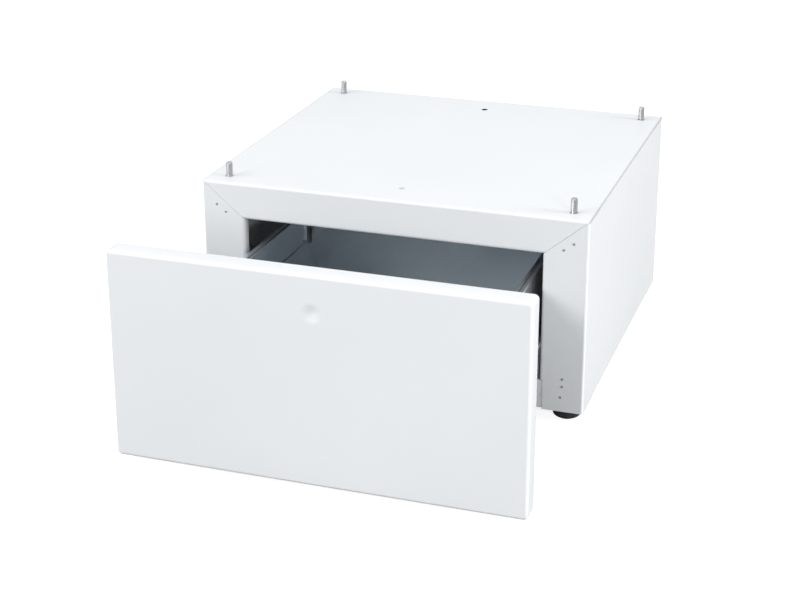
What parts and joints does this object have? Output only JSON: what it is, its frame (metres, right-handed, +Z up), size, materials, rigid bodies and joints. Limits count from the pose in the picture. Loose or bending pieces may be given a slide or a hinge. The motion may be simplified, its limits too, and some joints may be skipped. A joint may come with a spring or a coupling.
{
  "type": "laundry pedestal",
  "caption": "White enamelled steel laundry pedestal with machine studs on top, levelling feet and a wide drawer without a handle, standing open on ball runners.",
  "frame": {"origin": "on the floor, under the middle of the shell", "axes": "+X to the right seen from the front, +Y to the back, +Z up"},
  "size_m": [0.595, 0.8776, 0.341],
  "materials": {
    "white_enamel": "semi-gloss enamel",
    "grey_lacquer": "satin grey lacquer",
    "zinc_steel": "zinc plated",
    "runner_steel": "bright zinc",
    "stud_steel": "threaded, plain",
    "plug_plastic": "satin",
    "latch_plastic": "moulded",
    "foot_plastic": "moulded black",
    "sole_rubber": "matte"
  },
  "bodies": {
    "shell": {"bottom_front_rail": "white_enamel", "bottom_rear_rail": "zinc_steel", "corner_post_front_left": "zinc_steel", "corner_post_front_right": "zinc_steel", "corner_post_rear_left": "zinc_steel", "corner_post_rear_right": "zinc_steel", "foot_weld_nuts": "zinc_steel", "hole_plug": "plug_plastic", "latch_housing_left": "latch_plastic", "latch_housing_right": "latch_plastic", "machine_studs": "stud_steel", "rear_panel": "white_enamel", "runner_outer_left": "runner_steel", "runner_outer_right": "runner_steel", "runner_support_left": "zinc_steel", "runner_support_right": "zinc_steel", "side_panel_left": "white_enamel", "side_panel_right": "white_enamel", "stud_nuts": "zinc_steel", "top_panel": "white_enamel"},
    "drawer": {"drawer_back": "grey_lacquer", "drawer_front_liner": "grey_lacquer", "drawer_front_skin": "white_enamel", "drawer_inner_front": "grey_lacquer", "drawer_side_left": "grey_lacquer", "drawer_side_right": "grey_lacquer", "drawer_tray": "grey_lacquer", "front_bumpers": "sole_rubber", "front_stiffeners": "zinc_steel", "runner_carrier_left": "zinc_steel", "runner_carrier_right": "zinc_steel", "runner_inner_left": "runner_steel", "runner_inner_right": "runner_steel", "side_trim_left": "grey_lacquer", "side_trim_right": "grey_lacquer"},
    "middle_left": {"runner_middle_left": "runner_steel"},
    "outer_cage_left": {"outer_cage_left": "runner_steel"},
    "inner_cage_left": {"inner_cage_left": "runner_steel"},
    "latch_left": {"latch_plunger_left": "latch_plastic"},
    "middle_right": {"runner_middle_right": "runner_steel"},
    "outer_cage_right": {"outer_cage_right": "runner_steel"},
    "inner_cage_right": {"inner_cage_right": "runner_steel"},
    "latch_right": {"latch_plunger_right": "latch_plastic"},
    "sole_front_left": {"foot_sole_front_left": "sole_rubber"},
    "screw_front_left": {"foot_screw_front_left": "foot_plastic"},
    "sole_front_right": {"foot_sole_front_right": "sole_rubber"},
    "screw_front_right": {"foot_screw_front_right": "foot_plastic"},
    "sole_rear_left": {"foot_sole_rear_left": "sole_rubber"},
    "screw_rear_left": {"foot_screw_rear_left": "foot_plastic"},
    "sole_rear_right": {"foot_sole_rear_right": "sole_rubber"},
    "screw_rear_right": {"foot_screw_rear_right": "foot_plastic"}
  },
  "joints": [
    {"name": "drawer_slide", "type": "slide", "parent": "shell", "child": "drawer", "axis": [0, -1, 0], "range_m": [-0.2816, 0.1684]},
    {"name": "middle_left_slide", "type": "slide", "parent": "shell", "child": "middle_left", "axis": [0, -1, 0], "range_m": [-0.1413, 0.0847]},
    {"name": "outer_cage_left_slide", "type": "slide", "parent": "shell", "child": "outer_cage_left", "axis": [0, -1, 0], "range_m": [-0.0709, 0.0426]},
    {"name": "inner_cage_left_slide", "type": "slide", "parent": "shell", "child": "inner_cage_left", "axis": [0, -1, 0], "range_m": [-0.2117, 0.1268]},
    {"name": "latch_left_press", "type": "slide", "parent": "shell", "child": "latch_left", "axis": [0, 1, 0], "range_m": [0, 0.004], "stiffness_N_per_m": 1500, "springref_m": -0.003},
    {"name": "middle_right_slide", "type": "slide", "parent": "shell", "child": "middle_right", "axis": [0, -1, 0], "range_m": [-0.1413, 0.0847]},
    {"name": "outer_cage_right_slide", "type": "slide", "parent": "shell", "child": "outer_cage_right", "axis": [0, -1, 0], "range_m": [-0.0709, 0.0426]},
    {"name": "inner_cage_right_slide", "type": "slide", "parent": "shell", "child": "inner_cage_right", "axis": [0, -1, 0], "range_m": [-0.2117, 0.1268]},
    {"name": "latch_right_press", "type": "slide", "parent": "shell", "child": "latch_right", "axis": [0, 1, 0], "range_m": [0, 0.004], "stiffness_N_per_m": 1500, "springref_m": -0.003},
    {"name": "foot_front_left_lower", "type": "slide", "parent": "shell", "child": "sole_front_left", "axis": [0, 0, -1], "range_m": [0, 0.012]},
    {"name": "foot_front_left_turn", "type": "hinge", "parent": "sole_front_left", "child": "screw_front_left", "pos_m": [-0.267, -0.25, 0], "axis": [0, 0, -1], "range_deg": [0, 2881]},
    {"name": "foot_front_right_lower", "type": "slide", "parent": "shell", "child": "sole_front_right", "axis": [0, 0, -1], "range_m": [0, 0.012]},
    {"name": "foot_front_right_turn", "type": "hinge", "parent": "sole_front_right", "child": "screw_front_right", "pos_m": [0.267, -0.25, 0], "axis": [0, 0, -1], "range_deg": [0, 2881]},
    {"name": "foot_rear_left_lower", "type": "slide", "parent": "shell", "child": "sole_rear_left", "axis": [0, 0, -1], "range_m": [0, 0.012]},
    {"name": "foot_rear_left_turn", "type": "hinge", "parent": "sole_rear_left", "child": "screw_rear_left", "pos_m": [-0.267, 0.25, 0], "axis": [0, 0, -1], "range_deg": [0, 2881]},
    {"name": "foot_rear_right_lower", "type": "slide", "parent": "shell", "child": "sole_rear_right", "axis": [0, 0, -1], "range_m": [0, 0.012]},
    {"name": "foot_rear_right_turn", "type": "hinge", "parent": "sole_rear_right", "child": "screw_rear_right", "pos_m": [0.267, 0.25, 0], "axis": [0, 0, -1], "range_deg": [0, 2881]}
  ],
  "couplings": [
    {"joint": "middle_left_slide", "follows": "drawer_slide", "ratio": 0.5},
    {"joint": "outer_cage_left_slide", "follows": "drawer_slide", "ratio": 0.25},
    {"joint": "inner_cage_left_slide", "follows": "drawer_slide", "ratio": 0.75},
    {"joint": "middle_right_slide", "follows": "drawer_slide", "ratio": 0.5},
    {"joint": "outer_cage_right_slide", "follows": "drawer_slide", "ratio": 0.25},
    {"joint": "inner_cage_right_slide", "follows": "drawer_slide", "ratio": 0.75},
    {"joint": "foot_front_left_turn", "follows": "foot_front_left_lower", "rad_per_m": 4188.8},
    {"joint": "foot_front_right_turn", "follows": "foot_front_right_lower", "rad_per_m": 4188.8},
    {"joint": "foot_rear_left_turn", "follows": "foot_rear_left_lower", "rad_per_m": 4188.8},
    {"joint": "foot_rear_right_turn", "follows": "foot_rear_right_lower", "rad_per_m": 4188.8}
  ]
}
